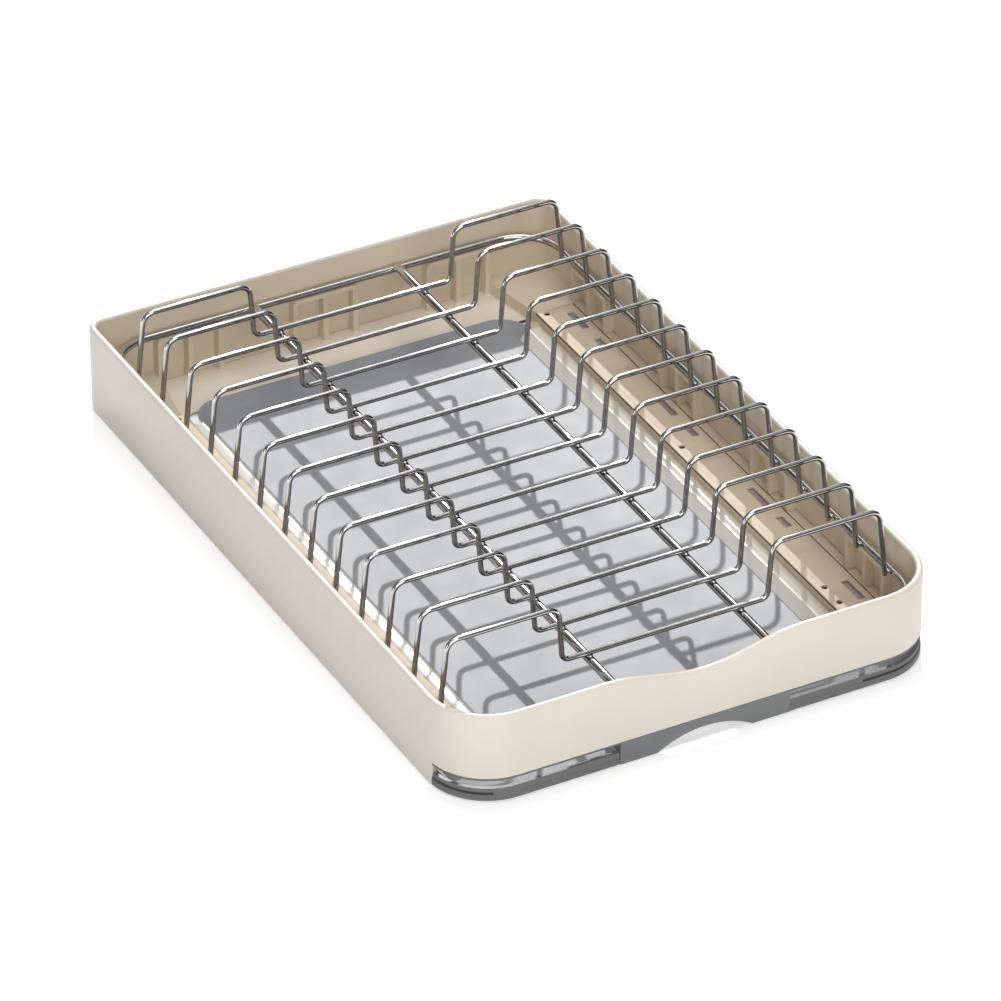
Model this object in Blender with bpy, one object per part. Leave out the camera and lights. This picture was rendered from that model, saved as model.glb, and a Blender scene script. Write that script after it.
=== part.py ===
"""Pull-out dish drainer: a moulded frame on two ball slides, a wire dish rack and a drip tray.

Metres, +Z up. The origin is the centre of the footprint at shelf level, +X is the right-hand
side and -Y the front, which the frame and the drip tray pull out towards.
"""
from math import cos, pi, radians, sin, tan

import bmesh
import bpy
from mathutils import Vector

# Clearance between touching pieces, and how far cutters and joined shapes run past a face
FIT = 0.0003
OVERRUN = 0.001

# Frame: outside size, wall, plan corners and rounded rim
FRAME_WIDTH = 0.2925
FRAME_DEPTH = 0.448
FRAME_HEIGHT = 0.054
WALL = 0.004
FRONT_RADIUS = 0.035
REAR_RADIUS = 0.010
RIM_ROUND = 0.0015
SHELF_GAP = 0.0006
LOWER_BAND_HEIGHT = 0.009
LOWER_BAND_RECESS = 0.0008

# Frame front: the tray's opening under the wall, and the dip in the top edge
TRAY_OPENING_HEIGHT = 0.0148
TRAY_OPENING_DEPTH = 0.031
DIP_HALF_WIDTH = 0.058
DIP_DEPTH = 0.009

# Frame feet along the side walls, which carry the rail housings
FOOT_WIDTH = 0.0037
FOOT_THICKNESS = 0.0016

# Rib panels inside the walls, which the rack's ring rests on
PANEL_TOP = 0.0348
PANEL_REACH = 0.006
PANEL_RIB_PITCH = 0.019
PANEL_RIB = 0.003
PANEL_CORNER = 0.003
SIDE_PANEL_END_GAP = 0.0655
SIDE_PANEL_COUNT = 4
REAR_PANEL_END_GAP = 0.05725
REAR_PANEL_COUNT = 3

# Rear ledge of the frame, and the covers over the slides' way out through the rear wall
LEDGE_THICKNESS = 0.0016
LEDGE_RAISE = 0.001
LEDGE_REACH = 0.0375
LEDGE_LOBE_REACH = 0.043
LEDGE_LOBE_INSET = 0.0074
LEDGE_CORNER = 0.005
TUNNEL_SKIN = 0.0016
TUNNEL_FLARE = 0.0093

# Ball slide, lying flat: cabinet member, drawer member, ball cage and balls
SLIDE_FRONT_GAP = 0.009
SLIDE_OVERLAP = 0.100
SLIDE_INSET = 0.01595
SLIDE_WIDTH = 0.021
SLIDE_HEIGHT = 0.0082
SLIDE_STEEL = 0.0011
SLIDE_LIP = 0.0016
SLIDE_END_GAP = 0.0007
SLIDE_HOLE_RADIUS = 0.0022
SLIDE_HOLE_INSET = 0.018
DRAWER_PLATE_INNER = 0.012
DRAWER_HALF_WIDTH = 0.006
DRAWER_PLATE_THICKNESS = 0.001
DRAWER_SKIRT = 0.0059
BALL_RADIUS = 0.0014
BALL_ROW_X = 0.0077
BALL_HEIGHT = 0.0046
BALL_COUNT = 3
CAGE_STEEL = 0.0007
CAGE_TOP = 0.007
CAGE_END_MARGIN = 0.002

# Rail housing over each slide
HOUSING_WIDTH = 0.02995
HOUSING_FRONT_GAP = 0.036
HOUSING_REAR_GAP = 0.0483
HOUSING_SKIN = 0.0014
HOUSING_ROOF = 0.0014
HOUSING_WEB = 0.003
STRIP_WIDTH = 0.0066
STRIP_RAISE = 0.0014
GROOVE_INSET = 0.0053
GROOVE_WIDTH = 0.0008
GROOVE_DEPTH = 0.0007
RUNNER_REACH = 0.0055
RUNNER_THICKNESS = 0.0015
SLOT_OFFSET = 0.0039
SLOT_WIDTH = 0.0045
SLOT_LENGTH = 0.020
SHORT_SLOT_LENGTH = 0.012
SHORT_SLOT_OFFSET = 0.028
POCKET_LENGTH = 0.016
POCKET_MARGIN = 0.0006
POCKET_DEPTH = 0.0008

# Rail screws
SCREW_INSET = 0.0024
SCREW_RADIUS = 0.001
SCREW_HEAD_RADIUS = 0.0017
SCREW_HEAD_HEIGHT = 0.0008
SCREW_HEAD_ROUND = 0.0003
SCREW_HEAD_DEPTH = 0.0006
SCREW_REAR_INSET = 0.0053
SCREW_FRONT_INSET = 0.025
SCREW_FRONT_PITCH = 0.016
SCREW_MIDDLE_SHARE = 0.549

# Drip tray
TRAY_SKIN = 0.0014
TRAY_FLOOR_BOTTOM = 0.0012
TRAY_SIDE_GAP = 0.0015
TRAY_WALL_HEIGHT = 0.0055
TRAY_WALL_LEAN = 0.0053
TRAY_REAR_RADIUS = 0.011
TRAY_REAR_GAP = 0.0006
TRAY_FLANGE_REACH = 0.0082
TRAY_FLANGE_REAR_GAP = 0.0186
FASCIA_THICKNESS = 0.003
BASIN_BACK_GAP = 0.0006

# Pull block in the middle of the tray's front
BLOCK_HALF_WIDTH = 0.051
BLOCK_DEPTH = 0.012
BLOCK_SKIN = 0.0015
BLOCK_CHEEK = 0.002
SCALLOP_HALF_WIDTH = 0.0285
SCALLOP_HEIGHT = 0.008

# Dish rack: ring, rods and dividers
RING_WIRE = 0.004
RING_SIDE_GAP = 0.00245
RING_RADIUS = 0.027
ROD_WIRE = 0.005
ROD_INSET = 0.0162
DIVIDER_WIRE = 0.003
DIVIDER_END_GAP = 0.03555
DIVIDER_COUNT = 13
DIVIDER_LOW_Z = 0.0435
HUMP_RISE = 0.034
HUMP_OUTER_LEAN = 0.0045
HUMP_WIDTH = 0.0736
VALLEY_LEAN = 0.0025
HUMP_BEND = 0.007
VALLEY_BEND = 0.0045

# Rounding of curved outlines, in steps for each quarter turn
FRONT_STEPS = 8
SMALL_STEPS = 3
DIP_STEPS = 16
HOLE_STEPS = 12
SCREW_STEPS = 10
SCALLOP_STEPS = 14
WIRE_RESOLUTION = 2
BALL_STEPS = 2

# Places worked out from the sizes above
HALF_WIDTH = FRAME_WIDTH / 2
FRONT_Y = -FRAME_DEPTH / 2
REAR_Y = FRAME_DEPTH / 2
INNER_X = HALF_WIDTH - WALL
INNER_REAR_Y = REAR_Y - WALL
OPENING_BACK_Y = FRONT_Y + TRAY_OPENING_DEPTH
LEDGE_TOP = LEDGE_RAISE + LEDGE_THICKNESS
LEDGE_FRONT_Y = INNER_REAR_Y - LEDGE_REACH
HOUSING_FRONT_Y = FRONT_Y + HOUSING_FRONT_GAP
HOUSING_REAR_Y = INNER_REAR_Y - HOUSING_REAR_GAP
HOUSING_OUTER_X = INNER_X - FIT
HOUSING_INNER_X = HOUSING_OUTER_X - HOUSING_WIDTH
SIDE_PANEL_PITCH = 2 * (INNER_REAR_Y - SIDE_PANEL_END_GAP) / (SIDE_PANEL_COUNT - 1)
REAR_PANEL_PITCH = 2 * (INNER_X - REAR_PANEL_END_GAP) / (REAR_PANEL_COUNT - 1)
LEDGE_LOBE_X = HOUSING_INNER_X - LEDGE_LOBE_INSET
SLIDE_REAR_Y = HOUSING_REAR_Y - SLIDE_END_GAP
SLIDE_FRONT_Y = HOUSING_FRONT_Y + SLIDE_FRONT_GAP
SLIDE_CENTRE_X = INNER_X - SLIDE_INSET
SLOT_CENTRE_X = SLIDE_CENTRE_X + SLOT_OFFSET
SCREW_X = SLIDE_CENTRE_X - DRAWER_PLATE_INNER + SCREW_INSET
DRAWER_PLATE_Z = SLIDE_HEIGHT + FIT
ROOF_Z = DRAWER_PLATE_Z + DRAWER_PLATE_THICKNESS + FIT
ROOF_TOP = ROOF_Z + HOUSING_ROOF
STRIP_TOP = ROOF_TOP + STRIP_RAISE
FOOT_TOP = SHELF_GAP + FOOT_THICKNESS
STRIP_OUTER_X = HOUSING_INNER_X + STRIP_WIDTH
GROOVE_OUTER_X = HOUSING_OUTER_X - GROOVE_INSET
GROOVE_INNER_X = GROOVE_OUTER_X - GROOVE_WIDTH
TRAY_FLOOR_TOP = TRAY_FLOOR_BOTTOM + TRAY_SKIN
TRAY_RIM_Z = TRAY_FLOOR_TOP + TRAY_WALL_HEIGHT
TRAY_RIM_HALF = HOUSING_INNER_X - TRAY_SIDE_GAP - TRAY_FLANGE_REACH
TRAY_FLANGE_Z = TRAY_RIM_Z - TRAY_SKIN
TRAY_REAR_OUTER_Y = LEDGE_FRONT_Y - TRAY_REAR_GAP
BASIN_BACK_Y = HOUSING_FRONT_Y - BASIN_BACK_GAP
RING_X = INNER_X - RING_SIDE_GAP - RING_WIRE / 2
RING_Y = INNER_REAR_Y - RING_SIDE_GAP - RING_WIRE / 2
RING_UNDERSIDE = PANEL_TOP + FIT
RING_Z = RING_UNDERSIDE + RING_WIRE / 2
DIVIDER_PITCH = 2 * (RING_Y - DIVIDER_END_GAP) / (DIVIDER_COUNT - 1)
HUMP_INNER_X = RING_X - HUMP_WIDTH
VALLEY_X = HUMP_INNER_X - VALLEY_LEAN
ROD_X = VALLEY_X - ROD_INSET
ROD_Z = DIVIDER_LOW_Z - DIVIDER_WIRE / 2 - FIT - ROD_WIRE / 2


def clear_scene():
    """Empty the scene that the model is built in."""
    for old in list(bpy.data.objects):
        bpy.data.objects.remove(old, do_unlink=True)


def material(name, colour, roughness, metallic=0.0):
    """One plain Principled material."""
    made = bpy.data.materials.new(name)
    made.use_nodes = True
    shader = made.node_tree.nodes["Principled BSDF"]
    shader.inputs["Base Color"].default_value = (*colour, 1.0)
    shader.inputs["Roughness"].default_value = roughness
    shader.inputs["Metallic"].default_value = metallic
    return made


def empty(name, place, parent=None):
    """An empty on a joint's axis, which carries the pieces of one moving group."""
    made = bpy.data.objects.new(name, None)
    bpy.context.scene.collection.objects.link(made)
    made.parent = parent
    carried = world_place(parent) if parent else Vector((0, 0, 0))
    made.location = Vector(place) - carried
    return made


def world_place(group):
    """The world position of an empty, counted up through its parents."""
    place = Vector((0, 0, 0))
    while group is not None:
        place += group.location
        group = group.parent
    return place


def put(name, data, finish, group=None, place=(0, 0, 0)):
    """Link mesh or curve data as a named piece of a group, at a world position."""
    made = bpy.data.objects.new(name, data)
    bpy.context.scene.collection.objects.link(made)
    if not data.materials:
        data.materials.append(finish)
    made.parent = group
    made.location = Vector(place) - world_place(group)
    return made


def mesh_from(name, shape, smooth=True):
    """Turn a bmesh into mesh data with its faces pointing outwards."""
    bmesh.ops.recalc_face_normals(shape, faces=shape.faces)
    data = bpy.data.meshes.new(name)
    shape.to_mesh(data)
    shape.free()
    if smooth:
        data.shade_smooth()
        data.set_sharp_from_angle(angle=radians(30))
    return data


def cutter(name, shape):
    """A hidden wire-drawn shape that a Boolean modifier uses."""
    made = bpy.data.objects.new(name, mesh_from(name, shape, smooth=False))
    bpy.context.scene.collection.objects.link(made)
    made.hide_render = True
    made.display_type = "WIRE"
    return made


def boolean(target, shape, operation, label):
    """Cut a shape away from a piece, or join it on."""
    change = target.modifiers.new(label, "BOOLEAN")
    change.operation = operation
    change.solver = "EXACT"
    change.use_self = operation == "UNION"
    change.object = cutter(target.name + "_" + label, shape)


def add_prism(shape, outline, axis, low, high):
    """Add a closed outline extruded along one axis: X takes (y, z), Y (x, z) and Z (x, y)."""
    order = {"X": (2, 0, 1), "Y": (0, 2, 1), "Z": (0, 1, 2)}[axis]
    ends = []
    for level in (low, high):
        ring = []
        for first, second in outline:
            values = (first, second, level)
            ring.append(shape.verts.new([values[index] for index in order]))
        ends.append(ring)
    bottom, top = ends
    shape.faces.new(bottom)
    shape.faces.new(reversed(top))
    for index in range(len(outline)):
        after = (index + 1) % len(outline)
        shape.faces.new((bottom[index], top[index], top[after], bottom[after]))


def add_box(shape, low, high):
    """Add a box between two opposite corners, given in any order."""
    xs, ys, zs = (sorted(pair) for pair in zip(low, high))
    outline = [(xs[0], ys[0]), (xs[1], ys[0]), (xs[1], ys[1]), (xs[0], ys[1])]
    add_prism(shape, outline, "Z", zs[0], zs[1])


def add_rings(shape, rings):
    """Join closed rings of points one after the other, the last back to the first."""
    loops = [[shape.verts.new(point) for point in ring] for ring in rings]
    for index, loop in enumerate(loops):
        following = loops[(index + 1) % len(loops)]
        for corner in range(len(loop)):
            after = (corner + 1) % len(loop)
            shape.faces.new((loop[corner], loop[after], following[after], following[corner]))


def add_loft(shape, lower, upper):
    """Add a solid between two outlines of as many points, each with its own height."""
    levels = [[shape.verts.new(point) for point in ring] for ring in (lower, upper)]
    shape.faces.new(levels[0])
    shape.faces.new(reversed(levels[1]))
    for index in range(len(lower)):
        after = (index + 1) % len(lower)
        low, high = levels
        shape.faces.new((low[index], high[index], high[after], low[after]))


def arc(centre, radius, start, end, steps):
    """Points along an arc, its two ends included, angles in degrees."""
    points = []
    for step in range(steps + 1):
        angle = radians(start + (end - start) * step / steps)
        points.append((centre[0] + radius * cos(angle), centre[1] + radius * sin(angle)))
    return points


def mirrored(outline, side):
    """An outline of the right-hand side, or its mirror image for side -1."""
    return [(side * first, second) for first, second in outline]


def rounded_path(corners, bends, steps):
    """A polyline whose inner corners are replaced by arcs of the given radii."""
    points = [Vector(corners[0])]
    for index in range(1, len(corners) - 1):
        corner = Vector(corners[index])
        inward = (Vector(corners[index - 1]) - corner).normalized()
        outward = (Vector(corners[index + 1]) - corner).normalized()
        half = inward.angle(outward) / 2
        radius = bends[index - 1]
        reach = radius / tan(half)
        middle = (inward + outward).normalized()
        centre = corner + middle * (radius / sin(half))
        start = corner + inward * reach - centre
        end = corner + outward * reach - centre
        turn = start.angle(end)
        for step in range(steps + 1):
            share = step / steps
            weight_start = sin((1 - share) * turn) / sin(turn)
            weight_end = sin(share * turn) / sin(turn)
            points.append(centre + start * weight_start + end * weight_end)
    points.append(Vector(corners[-1]))
    return points


def wire(name, points, diameter, closed=False):
    """Curve data of a round wire along a polyline, its open ends capped."""
    data = bpy.data.curves.new(name, "CURVE")
    data.dimensions = "3D"
    data.bevel_depth = diameter / 2
    data.bevel_resolution = WIRE_RESOLUTION
    data.use_fill_caps = True
    spline = data.splines.new("POLY")
    spline.points.add(len(points) - 1)
    for point, place in zip(spline.points, points):
        point.co = (*place, 1)
    spline.use_cyclic_u = closed
    spline.use_smooth = True
    return data


def frame_outline(inset, front_stops):
    """Plan outline of the frame, inset from its outer face, from the front left round."""
    half = HALF_WIDTH - inset
    front = FRONT_Y + inset
    rear = REAR_Y - inset
    big = FRONT_RADIUS - inset
    small = REAR_RADIUS - inset
    outline = [(stop, front) for stop in front_stops]
    outline += arc((half - big, front + big), big, -90, 0, FRONT_STEPS)
    outline += arc((half - small, rear - small), small, 0, 90, SMALL_STEPS)
    outline += arc((small - half, rear - small), small, 90, 180, SMALL_STEPS)
    outline += arc((big - half, front + big), big, 180, 270, FRONT_STEPS)
    return outline


def frame_walls():
    """The four walls in one, with a rounded rim, a thinner lower band and the front dip."""
    stops = []
    for step in range(DIP_STEPS + 1):
        stops.append(DIP_HALF_WIDTH * (2 * step / DIP_STEPS - 1))
    outer_round = arc((RIM_ROUND, -RIM_ROUND), RIM_ROUND, 180, 90, SMALL_STEPS)
    inner_round = arc((WALL - RIM_ROUND, -RIM_ROUND), RIM_ROUND, 90, 0, SMALL_STEPS)
    rim = outer_round + inner_round
    band = WALL - LOWER_BAND_RECESS
    fixed = [(WALL, LOWER_BAND_HEIGHT), (band, LOWER_BAND_HEIGHT), (band, SHELF_GAP)]
    rings = [[(x, y, SHELF_GAP) for x, y in frame_outline(0, stops)]]
    for inset, drop in rim:
        ring = []
        for index, (x, y) in enumerate(frame_outline(inset, stops)):
            dip = 0
            if index < len(stops):
                dip = DIP_DEPTH * cos(pi / 2 * stops[index] / DIP_HALF_WIDTH) ** 2
            ring.append((x, y, FRAME_HEIGHT - dip + drop))
        rings.append(ring)
    for inset, level in fixed:
        rings.append([(x, y, level) for x, y in frame_outline(inset, stops)])
    shape = bmesh.new()
    add_rings(shape, rings)
    return shape


def panel_outline(bottom):
    """Three ribs under a top bar, as seen facing the wall, centred on zero."""
    half = PANEL_RIB_PITCH + PANEL_RIB / 2
    bar = PANEL_TOP - PANEL_RIB
    outline = [(half, bottom)]
    outline += arc((half - PANEL_CORNER, PANEL_TOP - PANEL_CORNER), PANEL_CORNER, 0, 90, SMALL_STEPS)
    outline += arc((PANEL_CORNER - half, PANEL_TOP - PANEL_CORNER), PANEL_CORNER, 90, 180, SMALL_STEPS)
    outline += [(-half, bottom), (PANEL_RIB - half, bottom), (PANEL_RIB - half, bar)]
    outline += [(-PANEL_RIB / 2, bar), (-PANEL_RIB / 2, bottom)]
    outline += [(PANEL_RIB / 2, bottom), (PANEL_RIB / 2, bar)]
    outline += [(half - PANEL_RIB, bar), (half - PANEL_RIB, bottom)]
    return outline


def centred(count, pitch):
    """Places of a row of copies, centred on zero, from the rear to the front."""
    return [pitch * ((count - 1) / 2 - index) for index in range(count)]


def side_panel_places():
    """Where the rib panels stand along each side wall."""
    return centred(SIDE_PANEL_COUNT, SIDE_PANEL_PITCH)


def frame_ribs():
    """The rib panels of the side walls and the rear wall, rooted in the walls."""
    shape = bmesh.new()
    for side in (-1, 1):
        for place in side_panel_places():
            outline = [(place + along, up) for along, up in panel_outline(ROOF_TOP + FIT)]
            inner = side * (INNER_X - PANEL_REACH)
            add_prism(shape, outline, "X", inner, side * (INNER_X + OVERRUN))
    for place in centred(REAR_PANEL_COUNT, REAR_PANEL_PITCH):
        bottom = LEDGE_TOP - OVERRUN
        outline = [(place + along, up) for along, up in panel_outline(bottom)]
        add_prism(shape, outline, "Y", INNER_REAR_Y - PANEL_REACH, INNER_REAR_Y + OVERRUN)
    return shape


def tunnel_edge(skin):
    """The slanting inner face of a slide cover, from its front end to inside the rear wall."""
    start = HOUSING_INNER_X + TUNNEL_SKIN / 2 + skin
    return [(start, HOUSING_REAR_Y + FIT), (start - TUNNEL_FLARE, INNER_REAR_Y + OVERRUN)]


def frame_floor():
    """The rear ledge, the side feet and the covers over the slides' way out."""
    shape = bmesh.new()
    lobe = INNER_REAR_Y - LEDGE_LOBE_REACH
    front = LEDGE_FRONT_Y
    cover_foot = HOUSING_INNER_X + TUNNEL_SKIN
    back = INNER_REAR_Y + OVERRUN
    right = [(cover_foot, back), (cover_foot, lobe), (LEDGE_LOBE_X, lobe)]
    right += arc((LEDGE_LOBE_X - LEDGE_CORNER, front - LEDGE_CORNER), LEDGE_CORNER, 0, 90, SMALL_STEPS)
    left = [(-x, y) for x, y in reversed(right)]
    add_prism(shape, left + right, "Z", LEDGE_RAISE, LEDGE_TOP)
    return shape


def frame_covers(side):
    """One slide cover: a roof from the side wall and a slanting wall down beside the ledge."""
    shape = bmesh.new()
    outer = INNER_X + OVERRUN
    edge = tunnel_edge(0)
    inner = tunnel_edge(TUNNEL_SKIN)
    roof = [edge[0], (outer, edge[0][1]), (outer, edge[1][1]), edge[1]]
    add_prism(shape, mirrored(roof, side), "Z", ROOF_Z, ROOF_TOP)
    wall = [edge[0], inner[0], inner[1], edge[1]]
    add_prism(shape, mirrored(wall, side), "Z", LEDGE_RAISE, ROOF_Z + HOUSING_ROOF / 2)
    return shape


def frame_feet():
    """The thin feet that run inwards along the bottom of the side walls."""
    shape = bmesh.new()
    for side in (-1, 1):
        low = (side * (INNER_X - FOOT_WIDTH), HOUSING_FRONT_Y, SHELF_GAP)
        high = (side * (INNER_X + OVERRUN), HOUSING_REAR_Y, FOOT_TOP)
        add_box(shape, low, high)
    return shape


def front_opening():
    """The room that the tray's front takes under the front wall."""
    shape = bmesh.new()
    low = (-FRAME_WIDTH, FRONT_Y - WALL, -SHELF_GAP)
    high = (FRAME_WIDTH, OPENING_BACK_Y, TRAY_OPENING_HEIGHT)
    add_box(shape, low, high)
    return shape


def rear_notches():
    """The slides' way out through the bottom of the rear wall."""
    shape = bmesh.new()
    for side in (-1, 1):
        low = (side * (HOUSING_INNER_X + TUNNEL_SKIN), INNER_REAR_Y - OVERRUN, -SHELF_GAP)
        high = (side * (INNER_X - FOOT_WIDTH), REAR_Y + OVERRUN, ROOF_Z)
        add_box(shape, low, high)
    return shape


def make_frame(finish, group):
    """The moulded frame: walls, ribs, rear ledge, feet and slide covers in one piece."""
    shell = put("frame_shell", mesh_from("frame_shell", frame_walls()), finish, group)
    boolean(shell, front_opening(), "DIFFERENCE", "front_opening")
    boolean(shell, frame_floor(), "UNION", "ledge")
    boolean(shell, frame_feet(), "UNION", "feet")
    boolean(shell, frame_covers(1), "UNION", "cover_right")
    boolean(shell, frame_covers(-1), "UNION", "cover_left")
    boolean(shell, frame_ribs(), "UNION", "ribs")
    boolean(shell, rear_notches(), "DIFFERENCE", "rear_notches")


def screw_places():
    """Where the four screws of one rail housing stand, along the rail."""
    length = HOUSING_REAR_Y - HOUSING_FRONT_Y
    front = HOUSING_FRONT_Y + SCREW_FRONT_INSET
    middle = HOUSING_FRONT_Y + length * SCREW_MIDDLE_SHARE
    return [front, front + SCREW_FRONT_PITCH, middle, HOUSING_REAR_Y - SCREW_REAR_INSET]


def housing_section():
    """Section of a right-hand rail housing across the rail, open underneath for the slide."""
    cavity_inner = HOUSING_INNER_X + HOUSING_SKIN
    cavity_outer = HOUSING_OUTER_X - HOUSING_WEB
    runner_top = TRAY_FLANGE_Z - FIT
    runner_bottom = runner_top - RUNNER_THICKNESS
    runner_x = HOUSING_INNER_X - RUNNER_REACH
    skirt = TRAY_FLOOR_BOTTOM
    groove = ROOF_TOP - GROOVE_DEPTH
    section = [(HOUSING_INNER_X, skirt), (cavity_inner, skirt), (cavity_inner, ROOF_Z)]
    section += [(cavity_outer, ROOF_Z), (cavity_outer, FOOT_TOP + FIT)]
    section += [(HOUSING_OUTER_X, FOOT_TOP + FIT), (HOUSING_OUTER_X, ROOF_TOP)]
    section += [(GROOVE_OUTER_X, ROOF_TOP), (GROOVE_OUTER_X, groove)]
    section += [(GROOVE_INNER_X, groove), (GROOVE_INNER_X, ROOF_TOP)]
    section += [(STRIP_OUTER_X, ROOF_TOP), (STRIP_OUTER_X, STRIP_TOP)]
    section += [(HOUSING_INNER_X, STRIP_TOP), (HOUSING_INNER_X, runner_top)]
    section += [(runner_x, runner_top), (runner_x, runner_bottom)]
    section += [(HOUSING_INNER_X, runner_bottom)]
    return section


def housing_slots(side):
    """Long and short slots over the steel, a pair for each side panel."""
    shape = bmesh.new()
    inner = side * (SLOT_CENTRE_X - SLOT_WIDTH / 2)
    outer = side * (SLOT_CENTRE_X + SLOT_WIDTH / 2)
    for place in side_panel_places():
        for middle, length in ((place, SLOT_LENGTH), (place - SHORT_SLOT_OFFSET, SHORT_SLOT_LENGTH)):
            rear = middle + length / 2
            front = max(middle - length / 2, HOUSING_FRONT_Y + HOUSING_WEB)
            add_box(shape, (inner, front, ROOF_Z - OVERRUN), (outer, rear, STRIP_TOP + OVERRUN))
    return shape


def housing_pockets(side):
    """Shallow pockets in the roof, halfway between the side panels."""
    shape = bmesh.new()
    inner = side * (STRIP_OUTER_X + POCKET_MARGIN)
    outer = side * (GROOVE_INNER_X - POCKET_MARGIN)
    for place in centred(SIDE_PANEL_COUNT - 1, SIDE_PANEL_PITCH):
        front = place - POCKET_LENGTH / 2
        rear = place + POCKET_LENGTH / 2
        add_box(shape, (inner, front, ROOF_TOP - POCKET_DEPTH), (outer, rear, STRIP_TOP + OVERRUN))
    return shape


def housing_screw_holes(side):
    """Stepped holes for the screws, narrow for the shank and wide for the head."""
    shape = bmesh.new()
    seat = screw_seat()
    hole = SCREW_RADIUS + FIT
    well = SCREW_HEAD_RADIUS + FIT
    profile = [(hole, ROOF_Z - OVERRUN), (hole, seat), (well, seat), (well, STRIP_TOP + OVERRUN)]
    for place in screw_places():
        add_turned(shape, profile, (side * SCREW_X, place), HOLE_STEPS)
    return shape


def add_turned(shape, profile, centre, steps):
    """Add a round upright solid from its radius and height at each step, bottom first."""
    rings = []
    for radius, level in profile:
        ring = arc(centre, radius, 0, 360, steps)[:-1]
        rings.append([shape.verts.new((x, y, level)) for x, y in ring])
    shape.faces.new(rings[0])
    shape.faces.new(reversed(rings[-1]))
    for lower, upper in zip(rings, rings[1:]):
        for index in range(steps):
            after = (index + 1) % steps
            shape.faces.new((lower[index], upper[index], upper[after], lower[after]))


def screw_seat():
    """Height of the step that a screw's head bears on."""
    return STRIP_TOP - SCREW_HEAD_DEPTH - SCREW_HEAD_HEIGHT - FIT


def make_housing(name, side, finish, group):
    """A rail housing: strip, recessed roof with its groove, runner and outer web."""
    shape = bmesh.new()
    add_prism(shape, mirrored(housing_section(), side), "Y", HOUSING_FRONT_Y, HOUSING_REAR_Y)
    made = put(name, mesh_from(name, shape), finish, group)
    boolean(made, housing_slots(side), "DIFFERENCE", "slots")
    boolean(made, housing_pockets(side), "DIFFERENCE", "pockets")
    boolean(made, housing_screw_holes(side), "DIFFERENCE", "screw_holes")


def screw_mesh():
    """Mesh data of one rail screw, its end at zero and its head on the housing's step."""
    seat = screw_seat() + FIT - DRAWER_PLATE_Z
    top = seat + SCREW_HEAD_HEIGHT
    head = SCREW_HEAD_RADIUS
    profile = [(SCREW_RADIUS, 0), (SCREW_RADIUS, seat), (head, seat)]
    profile += [(head, top - SCREW_HEAD_ROUND), (head - SCREW_HEAD_ROUND, top)]
    shape = bmesh.new()
    add_turned(shape, profile, (0, 0), SCREW_STEPS)
    return mesh_from("rail_screw", shape)


def make_screws(name, side, shared, finish, group):
    """The screws that hold one housing to the drawer member of its slide, from the front."""
    for index, place in enumerate(screw_places()):
        put(f"{name}_{index + 1}", shared, finish, group, (side * SCREW_X, place, DRAWER_PLATE_Z))


def slide_section(points, side):
    """A section given outwards from the slide's centre line, placed on one side."""
    return [(side * (SLIDE_CENTRE_X + across), up) for across, up in points]


def make_cabinet_member(name, side, finish):
    """The fixed steel channel of a slide, lips inwards, with its fixing holes."""
    half = SLIDE_WIDTH / 2
    wall = half - SLIDE_STEEL
    lip = half - SLIDE_LIP
    under_lip = SLIDE_HEIGHT - SLIDE_STEEL
    right = [(half, 0), (half, SLIDE_HEIGHT), (lip, SLIDE_HEIGHT), (lip, under_lip)]
    right += [(wall, under_lip), (wall, SLIDE_STEEL)]
    left = [(-across, up) for across, up in reversed(right)]
    shape = bmesh.new()
    section = slide_section(right + left, side)
    add_prism(shape, section, "Y", SLIDE_FRONT_Y, SLIDE_REAR_Y)
    made = put(name, mesh_from(name, shape), finish)
    holes = bmesh.new()
    ends = (SLIDE_FRONT_Y + SLIDE_HOLE_INSET, SLIDE_REAR_Y - SLIDE_HOLE_INSET)
    for place in (ends[0], (ends[0] + ends[1]) / 2, ends[1]):
        centre = (side * SLIDE_CENTRE_X, place)
        outline = arc(centre, SLIDE_HOLE_RADIUS, 0, 360, HOLE_STEPS)[:-1]
        add_prism(holes, outline, "Z", -OVERRUN, SLIDE_STEEL + OVERRUN)
    boolean(made, holes, "DIFFERENCE", "fixing_holes")


def make_drawer_member(name, side, finish, group):
    """The moving steel channel of a slide, its plate reaching inwards under the screws."""
    half = DRAWER_HALF_WIDTH
    wall = half - SLIDE_STEEL
    low = DRAWER_PLATE_Z - DRAWER_SKIRT
    top = DRAWER_PLATE_Z + DRAWER_PLATE_THICKNESS
    section = [(-DRAWER_PLATE_INNER, DRAWER_PLATE_Z), (-half, DRAWER_PLATE_Z), (-half, low)]
    section += [(-wall, low), (-wall, DRAWER_PLATE_Z), (wall, DRAWER_PLATE_Z), (wall, low)]
    section += [(half, low), (half, top), (-DRAWER_PLATE_INNER, top)]
    shape = bmesh.new()
    add_prism(shape, slide_section(section, side), "Y", SLIDE_FRONT_Y, SLIDE_REAR_Y)
    made = put(name, mesh_from(name, shape), finish, group)
    holes = bmesh.new()
    for place in screw_places():
        outline = arc((side * SCREW_X, place), SCREW_RADIUS + FIT, 0, 360, HOLE_STEPS)[:-1]
        add_prism(holes, outline, "Z", DRAWER_PLATE_Z - OVERRUN, top + OVERRUN)
    boolean(made, holes, "DIFFERENCE", "screw_holes")


def cage_length():
    """Length of the ball cage, within what both members still share when the slide is out."""
    return SLIDE_OVERLAP - 2 * CAGE_END_MARGIN


def ball_places():
    """Where the balls of one row sit along the cage."""
    pitch = cage_length() / BALL_COUNT
    middle = (SLIDE_FRONT_Y + SLIDE_REAR_Y) / 2
    return [middle + place for place in centred(BALL_COUNT, pitch)]


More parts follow.
